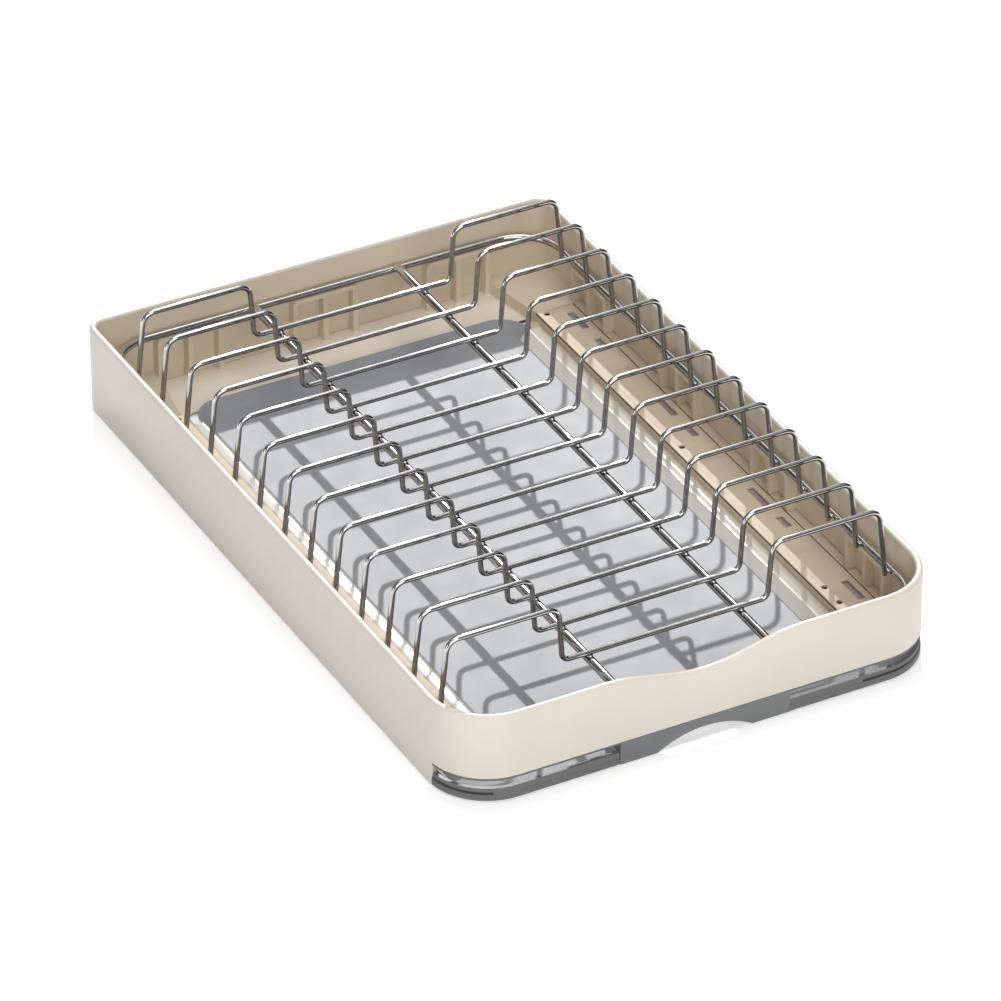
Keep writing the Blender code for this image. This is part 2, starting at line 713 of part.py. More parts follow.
def make_cage(name, side, finish, group):
    """The steel strip bent up at both sides, with a window round each ball."""
    outer = BALL_ROW_X + CAGE_STEEL / 2
    inner = BALL_ROW_X - CAGE_STEEL / 2
    floor = SLIDE_STEEL + FIT
    web = floor + CAGE_STEEL
    section = [(-outer, floor), (outer, floor), (outer, CAGE_TOP), (inner, CAGE_TOP)]
    section += [(inner, web), (-inner, web), (-inner, CAGE_TOP), (-outer, CAGE_TOP)]
    middle = (SLIDE_FRONT_Y + SLIDE_REAR_Y) / 2
    half = cage_length() / 2
    shape = bmesh.new()
    add_prism(shape, slide_section(section, side), "Y", middle - half, middle + half)
    made = put(name, mesh_from(name, shape), finish, group)
    windows = bmesh.new()
    reach = BALL_RADIUS + FIT
    low_x = side * (SLIDE_CENTRE_X - outer - OVERRUN)
    high_x = side * (SLIDE_CENTRE_X + outer + OVERRUN)
    for place in ball_places():
        low = (low_x, place - reach, BALL_HEIGHT - reach)
        high = (high_x, place + reach, BALL_HEIGHT + reach)
        add_box(windows, low, high)
    boolean(made, windows, "DIFFERENCE", "windows")


def ball_mesh():
    """Mesh data of one slide ball."""
    shape = bmesh.new()
    bmesh.ops.create_icosphere(shape, subdivisions=BALL_STEPS, radius=BALL_RADIUS)
    return mesh_from("slide_ball", shape)


def make_balls(name, side, shared, finish, group):
    """The balls of one slide, an inner and an outer row, each from the rear."""
    for row, across in (("inner", -BALL_ROW_X), ("outer", BALL_ROW_X)):
        for index, place in enumerate(ball_places()):
            centre = (side * (SLIDE_CENTRE_X + across), place, BALL_HEIGHT)
            put(f"{name}_{row}_{index + 1}", shared, finish, group, centre)


def basin_outline(half, rear, radius, front, level):
    """Plan outline of the tray's long part, square in front and rounded behind."""
    outline = [(-half, front), (half, front)]
    outline += arc((half - radius, rear - radius), radius, 0, 90, 2 * SMALL_STEPS)
    outline += arc((radius - half, rear - radius), radius, 90, 180, 2 * SMALL_STEPS)
    return [(x, y, level) for x, y in outline]


def add_basin(shape, spread, low, high, front):
    """Add the tray's long part between two heights, spread out from its inner face."""
    rim_rear = TRAY_REAR_OUTER_Y - TRAY_SKIN
    rings = []
    for level in (low, high):
        lean = TRAY_WALL_LEAN * (TRAY_RIM_Z - level) / TRAY_WALL_HEIGHT
        out = spread - lean
        radius = TRAY_REAR_RADIUS + TRAY_WALL_LEAN + out
        rings.append(basin_outline(TRAY_RIM_HALF + out, rim_rear + out, radius, front, level))
    add_loft(shape, rings[0], rings[1])


def front_outline(inset, back, half):
    """Plan outline of the tray's wide front part, its corners following the frame's."""
    radius = FRONT_RADIUS - inset
    across = HALF_WIDTH - inset
    front = FRONT_Y + inset
    right = arc((across - radius, front + radius), radius, -90, 0, FRONT_STEPS)
    kept = [(x, y) for x, y in right if x < half and y < back]
    outline = kept + [(half, kept[-1][1]), (half, back), (-half, back), (-half, kept[-1][1])]
    return outline + [(-x, y) for x, y in reversed(kept)]


def fascia_outline(side):
    """Plan outline of one curved wing of the tray's front, from the block round the corner."""
    outline = []
    for inset in (0, FASCIA_THICKNESS):
        radius = FRONT_RADIUS - inset
        centre = (HALF_WIDTH - FRONT_RADIUS, FRONT_Y + FRONT_RADIUS)
        curve = arc(centre, radius, -90, 0, FRONT_STEPS)
        curve = [point for point in curve if point[1] < OPENING_BACK_Y - FIT]
        path = [(BLOCK_HALF_WIDTH + FIT, FRONT_Y + inset)] + curve
        last = (end_x(radius), OPENING_BACK_Y - FIT)
        path.append(last)
        outline.append(path)
    return mirrored(outline[0] + outline[1][::-1], side)


def end_x(radius):
    """Where the corner curve of a radius meets the back of the tray's front opening."""
    along = FRONT_Y + FRONT_RADIUS - (OPENING_BACK_Y - FIT)
    return HALF_WIDTH - FRONT_RADIUS + (radius ** 2 - along ** 2) ** 0.5


def make_tray(finish, group):
    """The drip tray: sloping basin, side flanges, wide front part and curved front wings."""
    wall_in = FASCIA_THICKNESS + TRAY_SKIN
    inside_front = FRONT_Y + BLOCK_DEPTH + FIT
    skirt_half = INNER_X - FIT
    shape = bmesh.new()
    add_basin(shape, TRAY_SKIN, TRAY_FLOOR_BOTTOM, TRAY_RIM_Z, BASIN_BACK_Y - TRAY_SKIN - OVERRUN)
    tray = put("drip_tray", mesh_from("drip_tray", shape), finish, group)

    front = bmesh.new()
    outline = front_outline(FASCIA_THICKNESS / 2, BASIN_BACK_Y, skirt_half)
    add_prism(front, outline, "Z", TRAY_FLOOR_BOTTOM, TRAY_RIM_Z)
    boolean(tray, front, "UNION", "front_part")

    flanges = bmesh.new()
    for side in (-1, 1):
        inner = side * (TRAY_RIM_HALF + TRAY_SKIN / 4)
        outer = side * (TRAY_RIM_HALF + TRAY_FLANGE_REACH)
        rear = TRAY_REAR_OUTER_Y - TRAY_FLANGE_REAR_GAP
        add_box(flanges, (inner, BASIN_BACK_Y - TRAY_SKIN / 2, TRAY_FLANGE_Z), (outer, rear, TRAY_RIM_Z))
    boolean(tray, flanges, "UNION", "flanges")

    hollow = bmesh.new()
    inner_front = BASIN_BACK_Y - TRAY_SKIN - 2 * OVERRUN
    add_basin(hollow, 0, TRAY_FLOOR_TOP, TRAY_RIM_Z + OVERRUN, inner_front)
    boolean(tray, hollow, "DIFFERENCE", "hollow")

    well = bmesh.new()
    outline = front_outline(wall_in, BASIN_BACK_Y - TRAY_SKIN, skirt_half - TRAY_SKIN)
    add_prism(well, outline, "Z", TRAY_FLOOR_TOP, TRAY_RIM_Z + OVERRUN)
    boolean(tray, well, "DIFFERENCE", "front_hollow")

    notch = bmesh.new()
    half = BLOCK_HALF_WIDTH + FIT
    add_box(notch, (-half, FRONT_Y - OVERRUN, -OVERRUN), (half, inside_front, TRAY_RIM_Z + OVERRUN))
    boolean(tray, notch, "DIFFERENCE", "block_notch")

    walls = bmesh.new()
    back = inside_front + TRAY_SKIN
    low = (-half - TRAY_SKIN, inside_front, TRAY_FLOOR_BOTTOM)
    add_box(walls, low, (half + TRAY_SKIN, back, TRAY_RIM_Z))
    for side in (-1, 1):
        low = (side * half, FRONT_Y + FASCIA_THICKNESS / 2, TRAY_FLOOR_BOTTOM)
        add_box(walls, low, (side * (half + TRAY_SKIN), back - TRAY_SKIN / 2, TRAY_RIM_Z))
    boolean(tray, walls, "UNION", "block_walls")

    wings = bmesh.new()
    for side in (-1, 1):
        top = TRAY_OPENING_HEIGHT - FIT
        add_prism(wings, fascia_outline(side), "Z", SHELF_GAP, top)
    boolean(tray, wings, "UNION", "wings")


def make_block(finish, group):
    """The pull block: a front plate with a scalloped bottom edge, open behind for fingers."""
    half = BLOCK_HALF_WIDTH
    top = TRAY_OPENING_HEIGHT - FIT
    shape = bmesh.new()
    add_box(shape, (-half, FRONT_Y, SHELF_GAP), (half, FRONT_Y + BLOCK_DEPTH, top))
    block = put("tray_pull_block", mesh_from("tray_pull_block", shape), finish, group)
    hollow = bmesh.new()
    cheek = half - BLOCK_CHEEK
    low = (-cheek, FRONT_Y + FASCIA_THICKNESS, SHELF_GAP - OVERRUN)
    add_box(hollow, low, (cheek, FRONT_Y + BLOCK_DEPTH + OVERRUN, top - BLOCK_SKIN))
    boolean(block, hollow, "DIFFERENCE", "finger_room")
    scallop = bmesh.new()
    radius = (SCALLOP_HALF_WIDTH ** 2 + SCALLOP_HEIGHT ** 2) / (2 * SCALLOP_HEIGHT)
    centre = (0, SHELF_GAP + SCALLOP_HEIGHT - radius)
    outline = arc(centre, radius, 0, 180, 4 * SCALLOP_STEPS)
    add_prism(scallop, outline, "Y", FRONT_Y - OVERRUN, FRONT_Y + FASCIA_THICKNESS + OVERRUN)
    boolean(block, scallop, "DIFFERENCE", "scallop")


def make_ring_end(name, end, finish, group):
    """The front or rear end of the rack's ring, with its two rounded corners."""
    along = RING_Y - RING_RADIUS
    across = RING_X - RING_RADIUS
    outline = arc((-across, -along), RING_RADIUS, 180, 270, FRONT_STEPS)
    outline += arc((across, -along), RING_RADIUS, -90, 0, FRONT_STEPS)
    points = [(x, -end * y, RING_Z) for x, y in outline]
    put(name, wire(name, points, RING_WIRE), finish, group)


def make_ring_side(name, side, finish, group):
    """A straight side of the rack's ring, welded to both ends."""
    half = RING_Y - RING_RADIUS - FIT
    points = [(0, -half, 0), (0, half, 0)]
    put(name, wire(name, points, RING_WIRE), finish, group, (side * RING_X, 0, RING_Z))


def make_rod(name, side, finish, group):
    """A long rod under the dividers, its ends against the ring."""
    end = RING_Y - RING_WIRE / 2 - FIT
    points = [(0, -end, 0), (0, end, 0)]
    put(name, wire(name, points, ROD_WIRE), finish, group, (side * ROD_X, 0, ROD_Z))


def divider_points():
    """The path of one divider: leg, hump, low run, hump and leg."""
    foot_x = RING_X - RING_WIRE / 2 - FIT - DIVIDER_WIRE / 2
    high = DIVIDER_LOW_Z + HUMP_RISE
    half = [(foot_x - HUMP_OUTER_LEAN, 0, high), (HUMP_INNER_X, 0, high), (VALLEY_X, 0, DIVIDER_LOW_Z)]
    corners = [(-foot_x, 0, RING_UNDERSIDE)] + [(-x, y, z) for x, y, z in half]
    corners += half[::-1] + [(foot_x, 0, RING_UNDERSIDE)]
    bends = [HUMP_BEND, HUMP_BEND, VALLEY_BEND, VALLEY_BEND, HUMP_BEND, HUMP_BEND]
    return rounded_path(corners, bends, SMALL_STEPS)


def make_dividers(finish, group):
    """The row of dividers, numbered from the rear, all bent alike."""
    shared = wire("divider", divider_points(), DIVIDER_WIRE)
    for index, place in enumerate(centred(DIVIDER_COUNT, DIVIDER_PITCH)):
        put(f"divider_{index + 1:02d}", shared, finish, group, (0, place, 0))


def build():
    """Make every piece, grouped under an empty for each moving body."""
    clear_scene()
    beige = material("beige_plastic", (0.80, 0.74, 0.66), 0.35)
    smoke = material("smoke_plastic", (0.42, 0.43, 0.45), 0.15)
    dark = material("dark_smoke_plastic", (0.16, 0.17, 0.18), 0.2)
    chrome = material("chrome_wire", (0.80, 0.80, 0.80), 0.08, 1.0)
    steel = material("zinc_steel", (0.55, 0.57, 0.60), 0.3, 1.0)
    screw_steel = material("screw_steel", (0.20, 0.20, 0.21), 0.35, 1.0)

    drawer = empty("drawer_slide", (0, FRONT_Y, DRAWER_PLATE_Z))
    rack = empty("rack_lift", (0, 0, RING_Z), drawer)
    tray = empty("tray_slide", (0, FRONT_Y, TRAY_FLANGE_Z), drawer)
    screw = screw_mesh()
    ball = ball_mesh()

    make_frame(beige, drawer)
    for label, side in (("left", -1), ("right", 1)):
        cage = empty("cage_slide_" + label, (side * SLIDE_CENTRE_X, SLIDE_FRONT_Y, BALL_HEIGHT))
        make_housing("rail_housing_" + label, side, beige, drawer)
        make_screws("rail_screw_" + label, side, screw, screw_steel, drawer)
        make_cabinet_member("slide_cabinet_member_" + label, side, steel)
        make_drawer_member("slide_drawer_member_" + label, side, steel, drawer)
        make_cage("ball_cage_" + label, side, steel, cage)
        make_balls("slide_ball_" + label, side, ball, chrome, cage)
        make_rod("rack_rod_" + label, side, chrome, rack)
        make_ring_side("rack_ring_" + label, side, chrome, rack)
    make_tray(smoke, tray)
    make_block(dark, tray)
    make_ring_end("rack_ring_front", -1, chrome, rack)
    make_ring_end("rack_ring_rear", 1, chrome, rack)
    make_dividers(chrome, rack)


build()
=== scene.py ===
"""Looks of the pull-out dish drainer: plated wires, moulded plastic, smoke tray, studio and camera."""
from math import cos, pi, radians, sin, tan

import bmesh
import bpy
from mathutils import Matrix, Quaternion, Vector


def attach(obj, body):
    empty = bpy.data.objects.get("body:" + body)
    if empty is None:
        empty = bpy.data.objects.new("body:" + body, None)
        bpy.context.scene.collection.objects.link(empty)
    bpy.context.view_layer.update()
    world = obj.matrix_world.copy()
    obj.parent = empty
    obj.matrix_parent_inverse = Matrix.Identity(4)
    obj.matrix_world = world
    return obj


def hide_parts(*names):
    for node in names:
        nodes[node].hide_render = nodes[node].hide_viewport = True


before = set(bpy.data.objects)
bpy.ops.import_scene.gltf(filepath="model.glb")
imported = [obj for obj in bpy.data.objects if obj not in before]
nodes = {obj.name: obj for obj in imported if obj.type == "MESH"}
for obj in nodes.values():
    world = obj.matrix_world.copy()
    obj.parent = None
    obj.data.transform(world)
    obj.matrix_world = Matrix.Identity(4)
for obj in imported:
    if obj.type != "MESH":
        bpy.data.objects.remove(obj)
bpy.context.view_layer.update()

# Sizes shared with the CAD source, in metres
FIT = 0.0003
RING_X = 0.1378
RING_Y = 0.21555
RING_Z = 0.0371
RING_BEND = 0.027
RING_R = 0.002
ROD_X = 0.0455
ROD_Z = 0.0392
ROD_R = 0.0025
WIRE_R = 0.0015
PITCH = 0.030
COUNT = 13
LOW_Z = 0.0435
HIGH_Z = 0.0775
FRONT_Y = -0.224
CORNER = (0.11125, -0.189)
CORNER_R = 0.035
WING_BACK_Y = -0.1933
BLOCK_X = 0.051
TRAY_BOTTOM = 0.0012
TRAY_FLOOR = 0.0026
TRAY_RIM = 0.0081
TRAY_HALF = 0.1023
TRAY_REAR = 0.1805
TRAY_LEAN = 0.0053
TRAY_BACK = -0.1886
SKIN = 0.0014
BLOCK_DEPTH = 0.012
HUMP_LEAN = 0.0045
HUMP_INNER_X = 0.0642
HUMP_FOOT_X = 0.0617
HUMP_BEND = 0.007
FOOT_BEND = 0.0045
LEDGE_TOP = 0.0026
STRIP_X = 0.1120

# Where painted shade and painted light go on the frame and the rails, in metres
INNER_FACE = 0.0020
RIM_INSIDE = 0.0526
LIT_LEDGE_LEVELS = (0.0020, 0.0034)
LIT_LEDGE_DEPTHS = (0.17, 0.2198)
GROOVE_SHADE_X = (0.13575, 0.13675)
GROOVE_SHADE_LEVELS = (0.0099, 0.01095)

# The tray's own pieces, in metres
OVER = 0.001
LIP_BACK = 0.0031
WELL_INSET = 0.0020
FRONT_HALF = 0.14195
WELL_HALF = 0.14055
SIDE_REAR = 0.1640
FLANGE_REAR = 0.1633
FLANGE_WIDTH = 0.0082

# Trim on the ledge and the rails, and dark strips of painted shade there, in metres
LEDGE_BEAD = (0.0900, 0.1830, 0.1846)
LEDGE_SLOT_SHADE = (0.1062, 0.1095, 0.1795)
LEDGE_SLOT_SHADE_R = 0.0012
RAIL_SHADE_LINE_Y = (-0.1870, 0.1707)
RAIL_SHADE_LINE_Z = (0.0113, 0.0119)

# The photograph's camera, in pixels, degrees and metres
PHOTO_WIDTH = 1001
FOCAL = 7402.03
SHIFT = (-3.58, -16.64)
SENSOR = 36
AZIMUTH, ELEVATION, ROLL = -28.091, 33.447, -0.072
AIM = (0, 0, 0.03)
DISTANCE = 4.03071

# Studio levels
FLOOR_TONE = (0.84, 0.84, 0.84, 1)
FLOOR_GLOW = 0.40
KEY_PLACE = (0.605, 1.25, 1.0)
KEY_STRENGTH = 1.65
SKY_LOW = (0.03, 0.03, 0.03)
SKY_HIGH = (0.40, 0.40, 0.40)


# Geometry helpers

def link(name, data, body, finish):
    """Link a piece, ride it on a body and give it a finish."""
    made = bpy.data.objects.new(name, data)
    bpy.context.scene.collection.objects.link(made)
    data.materials.append(finish)
    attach(made, body)
    return made


def mesh(name, shape, angle=30):
    """Mesh data from a bmesh, smooth but for edges sharper than an angle."""
    bmesh.ops.recalc_face_normals(shape, faces=shape.faces)
    data = bpy.data.meshes.new(name)
    shape.to_mesh(data)
    shape.free()
    data.shade_smooth()
    data.set_sharp_from_angle(angle=radians(angle))
    return data


def arc(centre, radius, start, end, steps):
    """Points along an arc in a plane, its ends included."""
    points = []
    for step in range(steps + 1):
        angle = radians(start + (end - start) * step / steps)
        points.append((centre[0] + radius * cos(angle), centre[1] + radius * sin(angle)))
    return points


def rounded(corners, bends, steps):
    """A polyline whose inner corners are arcs of the given radii."""
    points = [Vector(corners[0])]
    for index in range(1, len(corners) - 1):
        corner = Vector(corners[index])
        inward = (Vector(corners[index - 1]) - corner).normalized()
        outward = (Vector(corners[index + 1]) - corner).normalized()
        half = inward.angle(outward) / 2
        radius = bends[index - 1]
        centre = corner + (inward + outward).normalized() * (radius / sin(half))
        start = corner + inward * (radius / tan(half)) - centre
        end = corner + outward * (radius / tan(half)) - centre
        turn = start.angle(end)
        for step in range(steps + 1):
            share = step / steps
            first = sin((1 - share) * turn) / sin(turn)
            last = sin(share * turn) / sin(turn)
            points.append(centre + start * first + end * last)
    points.append(Vector(corners[-1]))
    return points


def sweep(shape, points, radius, sides=14, closed=False):
    """Add a round wire along points, with rounded ends where it is open."""
    count = len(points)
    directions = []
    for index in range(count):
        if closed:
            way = points[(index + 1) % count] - points[index - 1]
        else:
            way = points[min(index + 1, count - 1)] - points[max(index - 1, 0)]
        directions.append(way.normalized())
    side = directions[0].orthogonal().normalized()
    rings = []
    for index, point in enumerate(points):
        side = (side - directions[index] * side.dot(directions[index])).normalized()
        up = directions[index].cross(side)
        rings.append((point, side, up, radius))
    if not closed:
        first, last = rings[0], rings[-1]
        lead, tail = [], []
        for share in (0.92, 0.7, 0.35):
            drop = radius * 0.45 * (1 - share)
            thin = radius * (1 - (1 - share) ** 2 * 0.55)
            tail.append((last[0] + directions[-1] * drop, last[1], last[2], thin))
            lead.insert(0, (first[0] - directions[0] * drop, first[1], first[2], thin))
        rings = lead + rings + tail
    loops = []
    for point, across, up, size in rings:
        loop = []
        for step in range(sides):
            angle = 2 * pi * step / sides
            loop.append(shape.verts.new(point + (across * cos(angle) + up * sin(angle)) * size))
        loops.append(loop)
    pairs = list(zip(loops, loops[1:]))
    if closed:
        pairs.append((loops[-1], loops[0]))
    else:
        shape.faces.new(loops[0])
        shape.faces.new(reversed(loops[-1]))
    for near, far in pairs:
        for step in range(sides):
            after = (step + 1) % sides
            shape.faces.new((near[step], near[after], far[after], far[step]))


def bead(shape, centre, size):
    """Add a small weld bead, a squashed ball."""
    made = bmesh.ops.create_icosphere(shape, subdivisions=2, radius=1)
    for vert in made["verts"]:
        spot = vert.co
        vert.co = Vector(centre) + Vector((spot.x * size[0], spot.y * size[1], spot.z * size[2]))


def loft(shape, lower, upper):
    """Add a solid between two outlines of as many points."""
    levels = [[shape.verts.new(point) for point in ring] for ring in (lower, upper)]
    shape.faces.new(levels[0])
    shape.faces.new(reversed(levels[1]))
    for index in range(len(lower)):
        after = (index + 1) % len(lower)
        shape.faces.new((levels[0][index], levels[1][index], levels[1][after], levels[0][after]))


def prism(outline, low, high):
    """A new upright solid over a plan outline."""
    shape = bmesh.new()
    loft(shape, [(x, y, low) for x, y in outline], [(x, y, high) for x, y in outline])
    return shape


def box(low, high):
    """A new box between two corners."""
    outline = [(low[0], low[1]), (high[0], low[1]), (high[0], high[1]), (low[0], high[1])]
    return prism(outline, low[2], high[2])


def worked(name, base, changes, width):
    """Mesh data of a shape after Boolean changes and fine edge rounds."""
    parts = [bpy.data.objects.new(name, mesh(name, base))]
    for operation, shape in changes:
        tool = bpy.data.objects.new(name + "_tool", mesh(name + "_tool", shape))
        parts.append(tool)
        change = parts[0].modifiers.new(operation, "BOOLEAN")
        change.operation = operation
        change.solver = "EXACT"
        change.object = tool
    rounds = parts[0].modifiers.new("rounds", "BEVEL")
    rounds.width = width
    rounds.segments = 3
    rounds.limit_method = "ANGLE"
    rounds.angle_limit = radians(40)
    for part in parts:
        bpy.context.scene.collection.objects.link(part)
    graph = bpy.context.evaluated_depsgraph_get()
    data = bpy.data.meshes.new_from_object(parts[0].evaluated_get(graph))
    for part in parts:
        bpy.data.objects.remove(part, do_unlink=True)
    data.shade_smooth()
    data.set_sharp_from_angle(angle=radians(50))
    return data


# Procedural finishes

def new_material(name):
    """A node material with its shader and an object-space texture place."""
    made = bpy.data.materials.new(name)
    made.use_nodes = True
    tree = made.node_tree
    place = tree.nodes.new("ShaderNodeTexCoord").outputs["Object"]
    return made, tree, tree.nodes["Principled BSDF"], place


def noise(tree, place, scale, detail=3.0):
    """Noise at a scale in waves per metre."""
    made = tree.nodes.new("ShaderNodeTexNoise")
    made.inputs["Scale"].default_value = scale
    made.inputs["Detail"].default_value = detail
    tree.links.new(place, made.inputs["Vector"])
    return made.outputs["Fac"]


def ramp(tree, value, low, high, start=0.3, end=0.7):
    """Colours from low to high as a value goes from start to end."""
    made = tree.nodes.new("ShaderNodeValToRGB")
    made.color_ramp.elements[0].position = start
    made.color_ramp.elements[1].position = end
    made.color_ramp.elements[0].color = (*low, 1)
    made.color_ramp.elements[1].color = (*high, 1)
    tree.links.new(value, made.inputs["Fac"])
    return made.outputs["Color"]


def spread(tree, value, low, high):
    """Map a value from 0..1 onto a range."""
    made = tree.nodes.new("ShaderNodeMapRange")
    made.inputs["To Min"].default_value = low
    made.inputs["To Max"].default_value = high
    tree.links.new(value, made.inputs["Value"])
    return made.outputs["Result"]


def bump(tree, shader, height, strength, distance):
    """Bump a shader's normal by a height."""
    made = tree.nodes.new("ShaderNodeBump")
    made.inputs["Strength"].default_value = strength
    made.inputs["Distance"].default_value = distance
    tree.links.new(height, made.inputs["Height"])
    tree.links.new(made.outputs["Normal"], shader.inputs["Normal"])


def sum_of(tree, operation, first, second):
    """One arithmetic step on two values, each a socket or a number."""
    made = tree.nodes.new("ShaderNodeMath")
    made.operation = operation
    for slot, value in enumerate((first, second)):
        if isinstance(value, (int, float)):
            made.inputs[slot].default_value = value
        else:
            tree.links.new(value, made.inputs[slot])
    return made.outputs[0]


def heights(tree, place):
    """Object-space sockets: across, back and up."""
    parts = tree.nodes.new("ShaderNodeSeparateXYZ")
    tree.links.new(place, parts.inputs[0])
    return parts.outputs[0], parts.outputs[1], parts.outputs[2]


def inner_shade_mask(tree, place):
    """Mask for painted shade: one on the frame's inner faces, nothing on its outer faces and rim."""
    across, back, up = heights(tree, place)
    past_side = sum_of(tree, "SUBTRACT", sum_of(tree, "ABSOLUTE", across, 0), CORNER[0])
    past_front = sum_of(tree, "SUBTRACT", CORNER[1], back)
    squares = []
    for past in (past_side, past_front):
        squares.append(sum_of(tree, "POWER", sum_of(tree, "MAXIMUM", past, 0), 2))
    reach = sum_of(tree, "POWER", sum_of(tree, "ADD", *squares), 0.5)
    from_side = sum_of(tree, "SUBTRACT", CORNER_R, reach)
    from_rear = sum_of(tree, "SUBTRACT", -FRONT_Y, back)
    deep = sum_of(tree, "GREATER_THAN", sum_of(tree, "MINIMUM", from_side, from_rear), INNER_FACE)
    return sum_of(tree, "MULTIPLY", deep, sum_of(tree, "LESS_THAN", up, RIM_INSIDE))


def band(tree, value, low, high):
    """One where a value lies between two limits."""
    above = sum_of(tree, "GREATER_THAN", value, low)
    return sum_of(tree, "MULTIPLY", above, sum_of(tree, "LESS_THAN", value, high))


def blend(tree, share, first, second):
    """Mix two colours, each a socket or plain values."""
    made = tree.nodes.new("ShaderNodeMix")
    made.data_type = "RGBA"
    tree.links.new(share, made.inputs["Factor"])
    for slot, value in ((6, first), (7, second)):
        if isinstance(value, tuple):
            made.inputs[slot].default_value = (*value, 1)
        else:
            tree.links.new(value, made.inputs[slot])
    return made.outputs[2]


def moulded(name, low, high, rough, coat=0.15, inner=None, groove_shade=None, shine=0.5):
    """Moulded plastic: slow flow marks in the colour, a fine grain and uneven gloss; if wanted, painted
    shade on inner faces and in the groove, and painted light on the rear ledge.
    """
    made, tree, shader, place = new_material(name)
    flow = noise(tree, place, scale=14, detail=4)
    colour = ramp(tree, flow, low, high)
    if inner is not None:
        # Painted shade: the frame's inner faces get the darker, warmer tan.
        _, back, up = heights(tree, place)
        colour = blend(tree, inner_shade_mask(tree, place), colour, ramp(tree, flow, *inner))
        # Painted light: the rear ledge, though in the rear wall's shadow, is painted lighter as if lit.
        ledge = sum_of(tree, "MULTIPLY", band(tree, up, *LIT_LEDGE_LEVELS), band(tree, back, *LIT_LEDGE_DEPTHS))
        colour = blend(tree, ledge, colour, LIT_LEDGE)
    # Painted shade: the groove along each rail housing is painted dark brown.
    if groove_shade is not None:
        across, _, up = heights(tree, place)
        groove_shade_mask = band(tree, sum_of(tree, "ABSOLUTE", across, 0), *GROOVE_SHADE_X)
        groove_shade_mask = sum_of(tree, "MULTIPLY", groove_shade_mask, band(tree, up, *GROOVE_SHADE_LEVELS))
        colour = blend(tree, groove_shade_mask, colour, groove_shade)
    tree.links.new(colour, shader.inputs["Base Color"])
    gloss = spread(tree, noise(tree, place, scale=90, detail=2), rough - 0.05, rough + 0.06)
    tree.links.new(gloss, shader.inputs["Roughness"])
    bump(tree, shader, noise(tree, place, scale=2400, detail=2), strength=0.12, distance=0.00002)
    shader.inputs["Specular IOR Level"].default_value = shine
    shader.inputs["Coat Weight"].default_value = coat
    shader.inputs["Coat Roughness"].default_value = 0.25
    return made


def plated(name, low, high, rough, scale=160, underside_shade=None):
    """Plated metal: faint cloudiness in tone and gloss, draw marks and, if wanted, painted shade on the
    underside.
    """
    made, tree, shader, place = new_material(name)
    colour = ramp(tree, noise(tree, place, scale), low, high)
    # Painted shade: faces pointing down blend to the dark colour, faces pointing up keep the bright
    # tone.
    if underside_shade is not None:
        facing = tree.nodes.new("ShaderNodeSeparateXYZ")
        tree.links.new(tree.nodes.new("ShaderNodeTexCoord").outputs["Normal"], facing.inputs[0])
        share = tree.nodes.new("ShaderNodeMapRange")
        share.inputs["From Min"].default_value = 0.30
        share.inputs["From Max"].default_value = -0.25
        tree.links.new(facing.outputs[2], share.inputs["Value"])
        colour = blend(tree, share.outputs["Result"], colour, underside_shade)
    tree.links.new(colour, shader.inputs["Base Color"])
    gloss = spread(tree, noise(tree, place, scale * 3), rough, rough + 0.05)
    tree.links.new(gloss, shader.inputs["Roughness"])
    bump(tree, shader, noise(tree, place, scale=420, detail=2), strength=0.06, distance=0.00002)
    shader.inputs["Metallic"].default_value = 1.0
    return made


def smoke(name, low, high, alpha, rough, coat, shine=0.5):
    """Clear smoke plastic: see-through, with faint moulding waves."""
    made, tree, shader, place = new_material(name)
    tree.links.new(ramp(tree, noise(tree, place, scale=10), low, high), shader.inputs["Base Color"])
    gloss = spread(tree, noise(tree, place, scale=60), rough, rough + 0.07)
    tree.links.new(gloss, shader.inputs["Roughness"])
    bump(tree, shader, noise(tree, place, scale=45, detail=2), strength=0.08, distance=0.0004)
    shader.inputs["Alpha"].default_value = alpha
    shader.inputs["Specular IOR Level"].default_value = shine
    shader.inputs["Coat Weight"].default_value = coat
    shader.inputs["Coat Roughness"].default_value = 0.04
    return made


# Painted shade: a darker, warmer tan for faces that stand in shade.
SHADE_TAN = ((0.690, 0.575, 0.430), (0.730, 0.620, 0.475))
# Painted light: the lighter cream of the rear ledge.
LIT_LEDGE = (0.90, 0.815, 0.70)
cream = moulded("cream_plastic", (0.755, 0.688, 0.605), (0.795, 0.730, 0.648), rough=0.34, inner=SHADE_TAN)
# A shaded copy of the cream plastic: the rail housings get the tan of painted shade.
cream_shaded = moulded("cream_plastic_painted_shade", *SHADE_TAN, rough=0.50, coat=0.0,
                       groove_shade=(0.20, 0.13, 0.08), shine=0.25)
